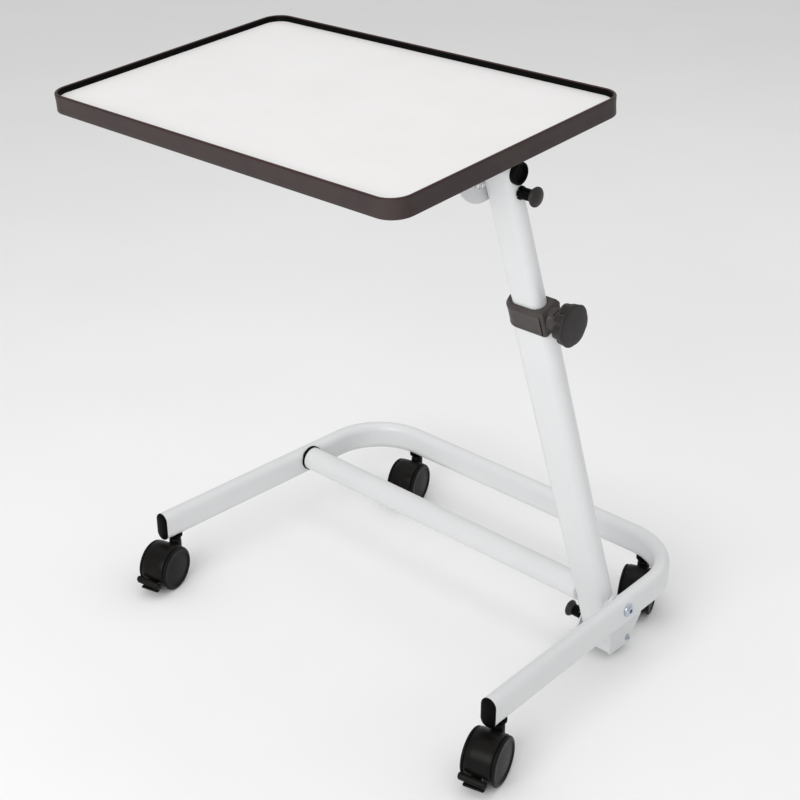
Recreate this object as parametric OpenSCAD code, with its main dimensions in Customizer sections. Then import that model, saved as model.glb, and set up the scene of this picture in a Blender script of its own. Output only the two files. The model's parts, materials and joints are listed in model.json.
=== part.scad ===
// Overbed table: a rimmed top that tilts, on a leaning telescopic post that folds
// down over a U-shaped base tube with four twin-wheel casters.
// Millimetres. +Z is up, the floor is z = 0, +X is the post side, -Y is the open
// end of the base. The origin is on the floor under the middle of the whole table.

/* [Tabletop] */
// Width of the top across its edge moulding
top_w = 600; // [560:10:640]
// Depth of the top across its edge moulding
top_d = 400; // [380:10:420]
// Sideways place of the middle of the top
top_x = 4; // [-8:1:12]
// Thickness of the board
board_t = 16; // [12:1:18]
// Thickness of the edge moulding
edge_t = 4; // [3:0.5:5]
// Height of the edge moulding from its foot to its lip
edge_h = 24.5; // [22:0.5:28]
// Rise of the lip above the board
lip_h = 7.8; // [5:0.1:9]
// Radius of the board's corners
board_corner_r = 24; // [20:1:30]
// Tilt of the top when the table stands as drawn, rear edge up
top_tilt = 4.67; // [0:0.01:8]
// Distance from the tilt axis up to the underside of the board
board_rise = 16.2; // [15:0.1:18]
// Distance of the middle of the board in front of the tilt axis
board_lead = 9.5; // [0:0.5:15]

/* [Base frame] */
// Width of the flat-oval base tube
tube_w = 24; // [22:1:26]
// Height of the flat-oval base tube
tube_h = 46; // [44:1:48]
// Wall of the base tube
tube_wall = 1.6; // [1.2:0.1:2]
// Height of the centre of the base tube above the floor
tube_z = 98; // [96:1:100]
// Sideways place of the middle of the base frame
base_x = -8; // [-12:1:0]
// Half the length of the straight crossbar
bend_x = 226.5; // [222:0.5:234]
// Length of the straight part of each leg
leg_len = 382; // [360:1:390]
// Angle by which each leg opens outwards
leg_splay = 1.5; // [0.5:0.1:1.6]
// Place of the centre of the crossbar
crossbar_y = 309; // [300:1:320]
// Centreline radius of the two corner bends
bend_r = 95; // [90:1:100]

/* [Fold pivot] */
// Place of the fold axis along the legs
fold_y = 138.5; // [130:0.5:145]
// Height of the fold axis above the floor
fold_z = 103.5; // [102:0.5:105]
// Diameter of the round bar between the legs
bar_d = 38; // [34:1:40]
// Wall of the round bar
bar_wall = 1.8; // [1.5:0.1:2.5]
// Radius of the pivot bolts
bolt_r = 6; // [5:0.5:6]

/* [Post] */
// Place of the post axis across the base
post_x = 268.3; // [262:0.1:268.3]
// Lean of the post towards the open end
post_lean = 19.4; // [18:0.1:21]
// Width of the lower tube
low_w = 60; // [58:1:60]
// Thickness of the lower tube
low_t = 30; // [30:1:32]
// Wall of both post tubes
post_wall = 1.6; // [1.2:0.1:1.8]
// Length of the lower tube above the fold axis
low_top = 550; // [540:5:560]
// Length of the foot below the fold axis
foot_len = 82; // [76:1:83]
// Width of the upper tube
up_w = 47; // [45:1:48]
// Thickness of the upper tube
up_t = 25; // [24:0.5:25]
// Distance from the fold axis to the lower end of the upper tube
up_low = 255; // [220:5:260]
// Distance from the fold axis to the tilt axis
tilt_s = 745.8; // [735:0.1:760]

/* [Height clamp] */
// Distance from the fold axis to the lower edge of the collar
collar_s = 518; // [510:1:520]
// Thickness of the lip that the collar folds over the tube end
collar_lip = 3; // [2:0.5:4]
// How far the collar stands out at the narrow sides of the tube
collar_side = 5; // [4:0.5:6]
// How far the collar stands out at the flat faces of the tube
collar_face = 4; // [3:0.5:5]
// Distance from the fold axis to the clamp screw
knob_s = 535; // [530:1:536]
// Largest radius of the clamp knob
knob_r = 27.5; // [24:0.5:29]
// Number of lobes on the clamp knob
knob_lobes = 6; // [5:1:8]
// Radius of the clamp screw
screw_r = 4; // [3:0.5:4]

/* [Tilt joint] */
// Diameter of the round arm under the top
arm_d = 26; // [24:1:26]
// Length of the arm from the side of the post
arm_len = 432; // [400:1:450]
// Diameter of the black caps on the ends of the arm
arm_cap_d = 30; // [28:0.5:30]
// Radius of the index plate
plate_r = 47; // [44:1:50]
// Radius of the circle of index holes
index_r = 27.3; // [26:0.1:29]
// Angle between two index holes
index_step = 17; // [16:1:18]
// Number of index holes
index_count = 6; // [4:1:6]

/* [Pull pins] */
// Radius of the plunger
pin_r = 3; // [2.5:0.1:3]
// Length of the sleeve that holds the plunger
pin_sleeve = 15; // [14:0.5:17]
// Radius of the mushroom knob
pin_knob_r = 12; // [10:0.5:13]
// Distance from the fold axis down to the lock pin
lock_s = 66; // [60:1:68]

/* [Casters] */
// Radius of the wheels
wheel_r = 35; // [35:0.5:35.5]
// Width of a caster across its two wheels
caster_w = 50; // [48:1:52]
// Distance of the axle behind the stem
trail = 31; // [30:0.5:32]
// Angle to which the other casters are turned
caster_yaw = 15; // [-30:1:30]
// Place of the front stems along the legs
front_stem_y = -144; // [-146:1:-142]
// Distance of the rear left stem from the middle of the base
rear_left_x = 226; // [200:1:226]
// Distance of the rear right stem from the middle of the base, where the bend begins
rear_right_x = 250; // [240:1:256]
// Angle to which the rear right caster is turned
rear_right_yaw = 22; // [-30:1:30]

/* [Hidden] */
$fn = 64;
white = [0.90, 0.91, 0.93];
black = [0.10, 0.10, 0.10];
brown_black = [0.17, 0.15, 0.15];
laminate = [0.95, 0.95, 0.94];
zinc = [0.70, 0.74, 0.80];
tiny = 0.1;
running_gap = 0.05;
free_gap = 0.4;

CORNERS = ["front_right", "front_left", "rear_right", "rear_left"];
BRAKED = ["front_right", "front_left"];
CASTER_PARTS = ["hood", "axle", "wheel_left", "wheel_right"];

// Base: the corner bends and the straight legs that run on from them
bend_y = crossbar_y - bend_r;
leg_end = bend_x + bend_r * cos(leg_splay) + leg_len * sin(leg_splay);
leg_end_y = bend_y + bend_r * sin(leg_splay) - leg_len * cos(leg_splay);
tube_bottom = tube_z - tube_h / 2;
// Distance of a leg's centre from the middle of the base
function leg_reach(y) = leg_end - (y - leg_end_y) * tan(leg_splay);
inner_reach = leg_reach(fold_y) - tube_w / 2 / cos(leg_splay);
outer_reach = leg_reach(fold_y) + tube_w / 2 / cos(leg_splay);

// Foot shoe: a folded sheet around the foot of the post
shoe_t = 2.5;
shoe_out_x = post_x + low_w / 2 + free_gap;
shoe_in_x = post_x - low_w / 2 - free_gap;
shoe_front_y = fold_y + 1.5;
shoe_web_top = 30;
shoe_web_bottom = 13;
shoe_screw_y = fold_y + 45.2;
shoe_screw_z = 19;
shoe_screw_r = 3;
shoe_round = 4;

// Fold pivot
sleeve_r = 11;
bolt_head_r = 9.5;
bolt_head_h = 5;
bush_r = bar_d / 2 + 1.5;
bush_t = 2.5;
bar_end_x = base_x - inner_reach + bush_t + free_gap;
bar_fish = 6;
plug_t = 14;

// Post
bush_len = 60;
shoe_len = 30;
collar_h = low_top - collar_s + collar_lip;
boss_r = 13;
boss_x = low_w / 2 + collar_side + 11;
nut_r = 7.5;
nut_t = 6.5;
nut_x = low_w / 2 + 6;
knob_x = boss_x + free_gap;
knob_hub = 4;
knob_t = 15;
knob_hub_r = 12;
scallop_r = 8;

// Tilt joint
arm_r = arm_d / 2;
plate_t = 3;
plate_x = -up_w / 2 - 0.8;
flange_t = 2.5;
flange_w = 36;
flange_d = 80;
saddle_w = 24;
saddle_wall = 3;
saddle_flange_t = 4;
saddle_flange_d = 60;
saddle_xs = [-100, -arm_len - up_w / 2 + 30];
cap_len = 10.5;
cap_recess = 6;
pilot_r = 2;
screw_head_r = 4;
screw_head_t = 2;
screw_bite = 10;
saddle_screw_v = 25;
plate_screw_v = 32;

// Board and moulding
board_w = top_w - 2 * edge_t;
board_d = top_d - 2 * edge_t;
board_x = top_x - post_x;
edge_foot = board_rise + board_t + lip_h - edge_h;
edge_round = 1.5;
barb_t = 2;
barb_l = 7;
barb_w = board_rise + board_t / 2;

// Casters
rear_right_y = bend_y + sqrt(pow(bend_r, 2) - pow(rear_right_x - bend_x, 2));
wheel_inner = 8.3;
wheel_rim = 5;
rim_x = caster_w / 2 - wheel_rim;
drum_r = wheel_r - 2;
rim_round = 2.5;
hood_half = rim_x - 0.5;
hood_r = wheel_r + 0.7;
hood_wall = 2.1;
hood_front_z = 29;
hood_rear_z = 36;
web_half = 5.5;
web_floor = 20;
boss_top = tube_bottom - 2.4;
boss_low = 45;
caster_boss_r = 7.75;
stem_r = 5;
stem_top = 108;
axle_r = 3;
axle_half = caster_w / 2 - 2.7;
socket_r = 8;
socket_flange_r = 12;
socket_flange = 2;
pedal_angle = 20;
pedal_span = 11;
pedal_pivot = wheel_r + 3.5;
pedal_in = wheel_r + 2.3;
pedal_out = wheel_r + 9.5;
pedal_half = hood_half - 1;
pedal_pin_r = 1.8;
lug_r = 3;
lug_half = 5;

// ---- shared shapes ----

// Flat oval, w by h
module oval(w, h) {
  r = min(w, h) / 2;
  for (k = [-1, 1]) translate([k * (w / 2 - r), k * (h / 2 - r)]) circle(r);
  square([w > h ? w - 2 * r : w, h > w ? h - 2 * r : h], center = true);
}

// Outline through counter-clockwise round centres, each corner of radius r
module rounded(centres, r) {
  polygon(centres);
  for (i = [0:len(centres) - 1]) {
    p = centres[i];
    q = centres[(i + 1) % len(centres)];
    out = r * [q[1] - p[1], p[0] - q[0]] / norm(q - p);
    translate(p) circle(r);
    polygon([p + out, q + out, q - out / 3, p - out / 3]);
  }
}

module rounded_rect(w, d, r) {
  x = w / 2 - r;
  y = d / 2 - r;
  rounded([[-x, -y], [x, -y], [x, y], [-x, y]], r);
}

// Cylinder along +X from x0 to x1
module rod_x(r, x0, x1) {
  translate([x0, 0, 0]) rotate([0, 90, 0]) cylinder(r = r, h = x1 - x0);
}

// Extrusion along +X of an outline drawn in Y and Z
module sheet_x(x0, t) {
  translate([x0, 0, 0]) rotate([90, 0, 90]) linear_extrude(t) children();
}

// Wire coil standing on z = 0
module coil(mean_r, wire_r, length, turns) {
  sides = 6;
  steps = 16 * turns;
  points = [
    for (i = [0:steps])
      for (j = [0:sides - 1])
        let (
          around = 360 * turns * i / steps,
          wire = 360 * j / sides,
          reach = mean_r + wire_r * cos(wire),
          height = wire_r + (length - 2 * wire_r) * i / steps + wire_r * sin(wire)
        )
          [reach * cos(around), reach * sin(around), height]
  ];
  walls = [
    for (i = [0:steps - 1])
      for (j = [0:sides - 1])
        let (k = (j + 1) % sides)
          [i * sides + j, i * sides + k, (i + 1) * sides + k, (i + 1) * sides + j]
  ];
  first = [for (j = [sides - 1:-1:0]) j];
  last = [for (j = [0:sides - 1]) steps * sides + j];
  polyhedron(points = points, faces = concat([first], walls, [last]));
}

// ---- places ----

// Middle of the base, with +X pointing to the right or the left leg
module on_side(side) {
  translate([base_x, 0, 0]) mirror([side < 0 ? 1 : 0, 0, 0]) children();
}

// Centre of a corner bend, with the leg running off towards -Y at x = bend_r
module at_bend(side) {
  on_side(side) translate([bend_x, bend_y, tube_z]) rotate([0, 0, leg_splay]) children();
}

// Middle of a leg end, with +Y running back along the leg
module at_leg(side) {
  at_bend(side) translate([bend_r, -leg_len, 0]) children();
}

module at_fold() {
  translate([0, fold_y, fold_z]) children();
}

// Fold axis inside the post, with +Z up along the post
module at_post(s = 0) {
  translate([post_x, fold_y, fold_z])
    rotate([post_lean, 0, 0])
      translate([0, 0, s])
        children();
}

// Tilt axis inside the post, with +Z square to the board
module at_top() {
  at_post(tilt_s) rotate([top_tilt - post_lean, 0, 0]) children();
}

function stem_place(corner) =
  corner == "front_right" ? [base_x + leg_reach(front_stem_y), front_stem_y, 0]
  : corner == "front_left" ? [base_x - leg_reach(front_stem_y), front_stem_y, 0]
  : corner == "rear_right" ? [base_x + rear_right_x, rear_right_y, 0]
  : [base_x - rear_left_x, crossbar_y, 0];
function stem_yaw(corner) = corner == "rear_right" ? rear_right_yaw : caster_yaw;

// Foot of a caster stem, turned with the caster
module at_caster(corner) {
  translate(stem_place(corner)) rotate([0, 0, stem_yaw(corner)]) children();
}

module at_axle() {
  translate([0, -trail, wheel_r]) children();
}

// ---- base ----

// Run of the base tube: two legs, two bends and the crossbar, with the section drawn
// as the module's child
module base_run() {
  for (side = [-1, 1])
    at_bend(side) {
      translate([bend_r, 0, 0]) rotate([90, 0, 0]) linear_extrude(leg_len) children();
      rotate_extrude(angle = 90 - leg_splay) translate([bend_r, 0]) children();
    }
  on_side(1)
    translate([-bend_x, crossbar_y, tube_z])
      rotate([90, 0, 90])
        linear_extrude(2 * bend_x) children();
}

module base_frame() {
  color(white)
    difference() {
      base_run()
        difference() {
          oval(tube_w, tube_h);
          oval(tube_w - 2 * tube_wall, tube_h - 2 * tube_wall);
        }
      for (c = CORNERS)
        translate(stem_place(c))
          translate([0, 0, tube_bottom - 1]) cylinder(r = socket_r + tiny, h = tube_h / 2);
      for (side = [-1, 1])
        on_side(side)
          translate([leg_reach(fold_y), 0, 0])
            at_fold()
              rod_x(bolt_r + tiny, -tube_w, tube_w);
    }
}

module end_cap(side) {
  insert_w = tube_w - 2 * tube_wall - 2 * tiny;
  insert_h = tube_h - 2 * tube_wall - 2 * tiny;
  color(black)
    at_leg(side)
      rotate([90, 0, 0]) {
        linear_extrude(2) oval(tube_w, tube_h);
        translate([0, 0, 2]) linear_extrude(1.5) oval(tube_w - 4, tube_h - 4);
        translate([0, 0, 3.5]) linear_extrude(1) oval(tube_w - 10, tube_h - 10);
        translate([0, 0, -10])
          linear_extrude(10)
            difference() {
              oval(insert_w, insert_h);
              oval(insert_w - 4, insert_h - 4);
            }
      }
}

module end_cap_right() {
  end_cap(1);
}

module end_cap_left() {
  end_cap(-1);
}

module caster_sockets() {
  color(black)
    for (c = CORNERS)
      translate(stem_place(c))
        difference() {
          union() {
            translate([0, 0, tube_bottom - socket_flange])
              cylinder(r = socket_r, h = stem_top + 3 - tube_bottom + socket_flange);
            difference() {
              translate([0, 0, tube_bottom - socket_flange])
                cylinder(r = socket_flange_r, h = 2 * socket_flange);
              translate(-stem_place(c)) base_run() oval(tube_w, tube_h);
            }
          }
          translate([0, 0, tube_bottom - socket_flange - tiny])
            cylinder(r = stem_r + tiny, h = stem_top + tiny - tube_bottom + socket_flange);
        }
}

module caster_stems() {
  color(zinc)
    for (c = CORNERS)
      translate(stem_place(c))
        translate([0, 0, boss_low + 3]) cylinder(r = stem_r, h = stem_top - boss_low - 3);
}

// Side outline of the shoe in Y and Z; the outboard plate reaches up to the pivot
module shoe_outline(reach_up) {
  r = shoe_round;
  front = shoe_front_y + r;
  low = [[fold_y + 44, 13], [fold_y + 73, 48]];
  high = [[fold_y + 16, 104], [fold_y - 14, 104], [fold_y - 14, 80]];
  mid = [[fold_y + 73, 60], [fold_y + 29.5, 60]];
  rounded(
    concat([[front, 13]], low, reach_up ? concat(high, [[front, 48]]) : mid),
    r
  );
}

module foot_shoe() {
  web_w = shoe_out_x - shoe_in_x + 2 * tiny;
  color(white)
    difference() {
      union() {
        sheet_x(shoe_out_x, shoe_t) shoe_outline(true);
        sheet_x(shoe_in_x - shoe_t, shoe_t) shoe_outline(false);
        translate([shoe_in_x - tiny, shoe_front_y, shoe_web_bottom])
          cube([web_w, shoe_t, shoe_web_top - shoe_web_bottom]);
        at_fold() rod_x(sleeve_r, shoe_out_x + tiny, base_x + inner_reach - tiny);
      }
      at_fold() rod_x(bolt_r + tiny, shoe_out_x - 1, base_x + inner_reach + 1);
      at_fold() rod_x(bar_d / 2 + 1.5, shoe_in_x - shoe_t - 1, shoe_in_x + 1);
      translate([0, shoe_screw_y, shoe_screw_z])
        rod_x(shoe_screw_r + tiny, shoe_in_x - shoe_t - 1, shoe_out_x + shoe_t + 1);
      at_post(-lock_s)
        rod_x(pin_r + running_gap, -low_w / 2 - shoe_t - 1, -low_w / 2);
    }
}

// Screw and spacer that hold the two plates of the shoe apart
module shoe_tie_screw() {
  color(zinc)
    translate([0, shoe_screw_y, shoe_screw_z])
      difference() {
        union() {
          rod_x(shoe_screw_r, shoe_in_x - shoe_t - 2, shoe_out_x + shoe_t + 2);
          rod_x(5, shoe_in_x + tiny, shoe_out_x - tiny);
          for (x = [shoe_in_x - shoe_t - 2.5, shoe_out_x + shoe_t])
            rod_x(4.5, x, x + 2.5);
        }
        rod_x(1.8, shoe_out_x + shoe_t + 1, shoe_out_x + shoe_t + 3);
      }
}

// Button-head bolt along +X with its head at x = 0 and its tip at x = -reach
module pivot_bolt(reach) {
  shoulder = 0.3 * bolt_head_h;
  difference() {
    union() {
      rod_x(bolt_r, -reach, tiny);
      rod_x(bolt_head_r, 0, shoulder);
      translate([shoulder, 0, 0])
        rotate([0, 90, 0])
          cylinder(r1 = bolt_head_r, r2 = 0.65 * bolt_head_r, h = bolt_head_h - shoulder);
    }
    translate([bolt_head_h - 3, 0, 0])
      rotate([0, 90, 0])
        cylinder(r = 3.7, h = 4, $fn = 6);
  }
}

module pivot_bolt_right() {
  color(zinc)
    on_side(1)
      translate([outer_reach + 0.3, 0, 0])
        at_fold()
          pivot_bolt(base_x + outer_reach - post_x + 10);
}

module pivot_bolt_left() {
  color(zinc)
    on_side(-1)
      translate([outer_reach + 0.3, 0, 0])
        at_fold()
          pivot_bolt(bar_end_x + plug_t - 1 - base_x + outer_reach);
}

// Ring that keeps the end of the bar off the far leg
module bar_bush() {
  color(black)
    difference() {
      on_side(-1) at_fold() rod_x(bush_r, inner_reach - bush_t, inner_reach + 2);
      base_run() oval(tube_w, tube_h);
      on_side(-1) at_fold() rod_x(bolt_r + tiny, inner_reach - bush_t - 1, inner_reach + 3);
    }
}

// ---- pull pins, with +Z pointing outwards from the face that carries them ----

module pin_sleeve_shape(root = 0) {
  difference() {
    translate([0, 0, -root]) cylinder(r = 7.5, h = pin_sleeve + root);
    translate([0, 0, -root - 1]) cylinder(r = 5.7, h = pin_sleeve - 1 + root);
    cylinder(r = pin_r + running_gap, h = pin_sleeve + 1);
  }
}

module pin_plunger_shape(reach) {
  translate([0, 0, -reach]) cylinder(r = pin_r, h = reach + pin_sleeve + 7);
  translate([0, 0, 0.5]) cylinder(r = 5.4, h = 1.5);
}

module pin_knob_shape() {
  base = pin_sleeve + 0.3;
  difference() {
    rotate_extrude()
      translate([0, base]) {
        polygon([[0, 0], [6.5, 0], [pin_knob_r - 1, 5], [pin_knob_r - 1, 9], [0, 9]]);
        translate([pin_knob_r - 2, 7]) circle(2);
        polygon([[0, 8], [pin_knob_r - 2, 9], [pin_knob_r / 2, 10.6], [0, 11.4]]);
      }
    translate([0, 0, base - 1]) cylinder(r = pin_r, h = pin_sleeve + 8 - base);
  }
}

module pin_spring_shape() {
  translate([0, 0, 2.1]) coil(4.4, 0.45, pin_sleeve - 4.3, 5);
}

// Lock pin, carried by the inboard plate of the shoe
module at_lock_pin() {
  at_post(-lock_s)
    translate([-low_w / 2 - free_gap - shoe_t, 0, 0])
      rotate([0, -90, 0])
        children();
}

module lock_pin_sleeve() {
  color(black) at_lock_pin() pin_sleeve_shape();
}

module lock_pin_spring() {
  color(zinc) at_lock_pin() pin_spring_shape();
}

module lock_pin_plunger() {
  color(zinc) at_lock_pin() pin_plunger_shape(shoe_t + tiny);
}

module lock_pin_knob() {
  color(black) at_lock_pin() pin_knob_shape();
}

// Tilt pin, carried by the narrow side of the upper tube
module at_tilt_pin() {
  at_post(tilt_s - index_r)
    translate([up_w / 2, 0, 0])
      rotate([0, 90, 0])
        children();
}

module tilt_pin_sleeve() {
  color(black)
    difference() {
      at_tilt_pin() pin_sleeve_shape(3);
      at_post(tilt_s - index_r - 20) linear_extrude(40) oval(up_w, up_t);
    }
}

module tilt_pin_spring() {
  color(zinc) at_tilt_pin() pin_spring_shape();
}

module tilt_pin_plunger() {
  color(zinc) at_tilt_pin() pin_plunger_shape(up_w - plate_x - up_w / 2 - 0.3);
}

module tilt_pin_knob() {
  color(black) at_tilt_pin() pin_knob_shape();
}

// ---- lower post ----

module round_bar() {
  color(white)
    difference() {
      at_fold() rod_x(bar_d / 2, bar_end_x, post_x - low_w / 2 + bar_fish);
      at_fold() rod_x(bar_d / 2 - bar_wall, bar_end_x - 1, post_x);
      at_post(-bar_d) linear_extrude(2 * bar_d) oval(low_w, low_t);
    }
}

module bar_end_plug() {
  color(zinc)
    at_fold()
      difference() {
        rod_x(bar_d / 2 - bar_wall, bar_end_x, bar_end_x + plug_t);
        rod_x(bolt_r + running_gap, bar_end_x - 1, bar_end_x + plug_t + 1);
      }
}

module lower_tube() {
  color(white)
    at_post()
      difference() {
        translate([0, 0, -foot_len])
          linear_extrude(foot_len + low_top)
            difference() {
              oval(low_w, low_t);
              oval(low_w - 2 * post_wall, low_t - 2 * post_wall);
            }
        rod_x(sleeve_r, -low_w, low_w);
        translate([0, 0, -lock_s]) rod_x(pin_r + 0.2, -low_w, 0);
        translate([0, 0, knob_s]) rod_x(screw_r + 0.5, 0, low_w);
      }
}

// Sleeve across the post that turns on the near pivot bolt
module pivot_sleeve() {
  color(zinc)
    at_post()
      difference() {
        rod_x(sleeve_r, -low_w / 2, low_w / 2);
        rod_x(bolt_r + running_gap, -low_w, low_w);
      }
}

module foot_plug() {
  color(black)
    at_post(-foot_len) {
      translate([0, 0, -1.5]) linear_extrude(1.5) oval(low_w - 1, low_t - 1);
      linear_extrude(6)
        oval(low_w - 2 * post_wall - tiny, low_t - 2 * post_wall - tiny);
    }
}

module guide_bush() {
  color(black)
    at_post(low_top - bush_len)
      difference() {
        linear_extrude(bush_len)
          difference() {
            oval(low_w - 2 * post_wall, low_t - 2 * post_wall);
            oval(up_w + 2 * tiny, up_t + 2 * tiny);
          }
        translate([0, 0, knob_s - low_top + bush_len]) rod_x(screw_r + 0.5, 0, low_w);
      }
}

module clamp_collar() {
  color(brown_black)
    at_post(collar_s)
      difference() {
        union() {
          linear_extrude(collar_h) oval(low_w + 2 * collar_side, low_t + 2 * collar_face);
          translate([0, 0, knob_s - collar_s]) rod_x(boss_r, low_w / 2, boss_x);
        }
        translate([0, 0, -1]) linear_extrude(low_top - collar_s + 1) oval(low_w, low_t);
        linear_extrude(collar_h + 1) oval(up_w + 1, up_t + 1);
        translate([0, 0, knob_s - collar_s]) {
          rod_x(screw_r + 0.5, 0, boss_x + 1);
          translate([nut_x, 0, 0])
            rotate([0, 90, 0])
              cylinder(r = nut_r + tiny, h = boss_x, $fn = 6);
        }
        translate([low_w / 2 - 7, -low_t / 2 - collar_face - 1, 2])
          cube([1.4, 3, collar_h - 6]);
      }
}

module clamp_nut() {
  color(zinc)
    at_post(knob_s)
      translate([nut_x, 0, 0])
        difference() {
          rotate([0, 90, 0]) cylinder(r = nut_r, h = nut_t, $fn = 6);
          rod_x(screw_r + running_gap, -1, nut_t + 1);
        }
}

module clamp_screw() {
  color(zinc) at_post(knob_s) rod_x(screw_r, up_w / 2 + free_gap, knob_x + knob_hub + 8);
}

module clamp_knob() {
  color(brown_black)
    at_post(knob_s)
      difference() {
        union() {
          rod_x(knob_hub_r, knob_x, knob_x + knob_hub + 1);
          sheet_x(knob_x + knob_hub, knob_t)
            difference() {
              circle(knob_r);
              for (k = [0:knob_lobes - 1])
                rotate(360 * k / knob_lobes)
                  translate([knob_r + scallop_r - 3.5, 0])
                    circle(scallop_r);
            }
        }
        rod_x(screw_r, knob_x - 1, knob_x + knob_hub + 8);
      }
}

// ---- upper post ----

module upper_tube() {
  color(white)
    at_post()
      difference() {
        translate([0, 0, up_low])
          linear_extrude(tilt_s - up_low)
            difference() {
              oval(up_w, up_t);
              oval(up_w - 2 * post_wall, up_t - 2 * post_wall);
            }
        translate([0, 0, tilt_s]) rod_x(arm_r, -up_w, up_w);
        translate([0, 0, tilt_s - index_r]) rod_x(pin_r + running_gap, -up_w, up_w);
      }
}

// Plastic foot of the upper tube, which guides it and stops it under the guide bush
module slide_shoe() {
  color(black)
    at_post(up_low)
      linear_extrude(shoe_len)
        difference() {
          oval(low_w - 2 * post_wall - 2 * tiny, low_t - 2 * post_wall - 2 * tiny);
          oval(up_w, up_t);
        }
}

module arm_tube() {
  color(white)
    at_post(tilt_s)
      difference() {
        rod_x(arm_r, -up_w / 2 - arm_len, up_w / 2);
        rod_x(arm_r - post_wall, -up_w / 2 - arm_len - 1, up_w / 2 + 1);
      }
}

// Recessed cap, with +X pointing out of the arm
module arm_cap(length) {
  color(black)
    difference() {
      union() {
        rod_x(arm_cap_d / 2, 0, length);
        rod_x(arm_r - post_wall - tiny, -10, tiny);
      }
      rod_x(arm_cap_d / 2 - 3.5, length - cap_recess / 2, length + 1);
      rod_x(arm_r - post_wall - 2, -11, length - cap_recess);
    }
}

module arm_cap_right() {
  at_post(tilt_s) translate([up_w / 2, 0, 0]) arm_cap(cap_len);
}

module arm_cap_left() {
  at_post(tilt_s)
    translate([-up_w / 2 - arm_len, 0, 0])
      mirror([1, 0, 0])
        arm_cap(cap_len - 2);
}

// ---- tabletop ----

// Plate with its ring of index holes, on a flange under the board
module index_plate() {
  first = post_lean - top_tilt;
  color(white)
    at_top()
      difference() {
        union() {
          sheet_x(plate_x - plate_t, plate_t)
            intersection() {
              circle(plate_r);
              translate([-plate_r, -plate_r]) square([2 * plate_r, plate_r + board_rise]);
            }
          translate([plate_x - flange_w, -flange_d / 2, board_rise - flange_t])
            cube([flange_w, flange_d, flange_t]);
        }
        rod_x(arm_r + running_gap, plate_x - plate_t - 1, plate_x + 1);
        for (k = [0:index_count - 1])
          rotate([first - k * index_step, 0, 0])
            translate([0, 0, -index_r])
              rod_x(pin_r + running_gap, plate_x - plate_t - 1, plate_x + 1);
        for (v = [-1, 1])
          translate([plate_x - flange_w + 10, v * plate_screw_v, 0])
            cylinder(r = pilot_r + tiny, h = board_rise + 1);
      }
}

// Two plastic saddles that hang the board on the arm
module arm_saddles() {
  wide = 2 * (arm_r + saddle_wall);
  color(black)
    at_top()
      for (x = saddle_xs)
        translate([x - saddle_w / 2, 0, 0])
          difference() {
            union() {
              rod_x(wide / 2, 0, saddle_w);
              translate([0, -wide / 2, 0]) cube([saddle_w, wide, board_rise]);
              translate([0, -saddle_flange_d / 2, board_rise - saddle_flange_t])
                cube([saddle_w, saddle_flange_d, saddle_flange_t]);
            }
            rod_x(arm_r + running_gap, -1, saddle_w + 1);
            for (v = [-1, 1])
              translate([saddle_w / 2, v * saddle_screw_v, 0])
                cylinder(r = pilot_r + tiny, h = board_rise + 1);
          }
}

// Places and flange thickness of the screws that go up into the board
BOARD_SCREWS = concat(
  [for (v = [-1, 1]) [plate_x - flange_w + 10, v * plate_screw_v, flange_t]],
  [for (x = saddle_xs) for (v = [-1, 1]) [x, v * saddle_screw_v, saddle_flange_t]]
);

module board_screws() {
  color(zinc)
    at_top()
      for (p = BOARD_SCREWS)
        translate([p[0], p[1], board_rise - p[2]]) {
          cylinder(r = pilot_r, h = p[2] + screw_bite);
          translate([0, 0, -screw_head_t]) cylinder(r = screw_head_r, h = screw_head_t);
        }
}

module at_board() {
  at_top() translate([board_x, -board_lead, 0]) children();
}

module tabletop_board() {
  slot = barb_l + tiny;
  color(laminate)
    difference() {
      at_board()
        translate([0, 0, board_rise])
          linear_extrude(board_t) rounded_rect(board_w, board_d, board_corner_r);
      at_board()
        translate([0, 0, barb_w - barb_t / 2 - tiny])
          linear_extrude(barb_t + 2 * tiny)
            difference() {
              square([board_w + 20, board_d + 20], center = true);
              rounded_rect(board_w - 2 * slot, board_d - 2 * slot, board_corner_r - slot);
            }
      at_top()
        for (p = BOARD_SCREWS)
          translate([p[0], p[1], board_rise - 1])
            cylinder(r = pilot_r, h = screw_bite + 1);
    }
}

// Section of the moulding: x = 0 is the board's edge, y is height above the tilt axis
module edge_section() {
  r = edge_round;
  translate([0, edge_foot])
    rounded([[r, r], [edge_t - r, r], [edge_t - r, edge_h - r], [r, edge_h - r]], r);
  translate([-barb_l, barb_w - barb_t / 2]) square([barb_l + edge_t / 2, barb_t]);
}

module edge_moulding() {
  half = [board_w / 2 - board_corner_r, board_d / 2 - board_corner_r];
  color(brown_black)
    at_board()
      for (k = [0:3])
        rotate([0, 0, 90 * k]) {
          run = k % 2 == 0 ? half : [half[1], half[0]];
          translate([run[0] + board_corner_r, run[1], 0])
            rotate([90, 0, 0])
              linear_extrude(2 * run[1]) edge_section();
          translate([run[0], run[1], 0])
            rotate_extrude(angle = 90)
              translate([board_corner_r, 0]) edge_section();
        }
}

// ---- casters: stem on z, axle towards -Y before the caster is turned ----

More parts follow.
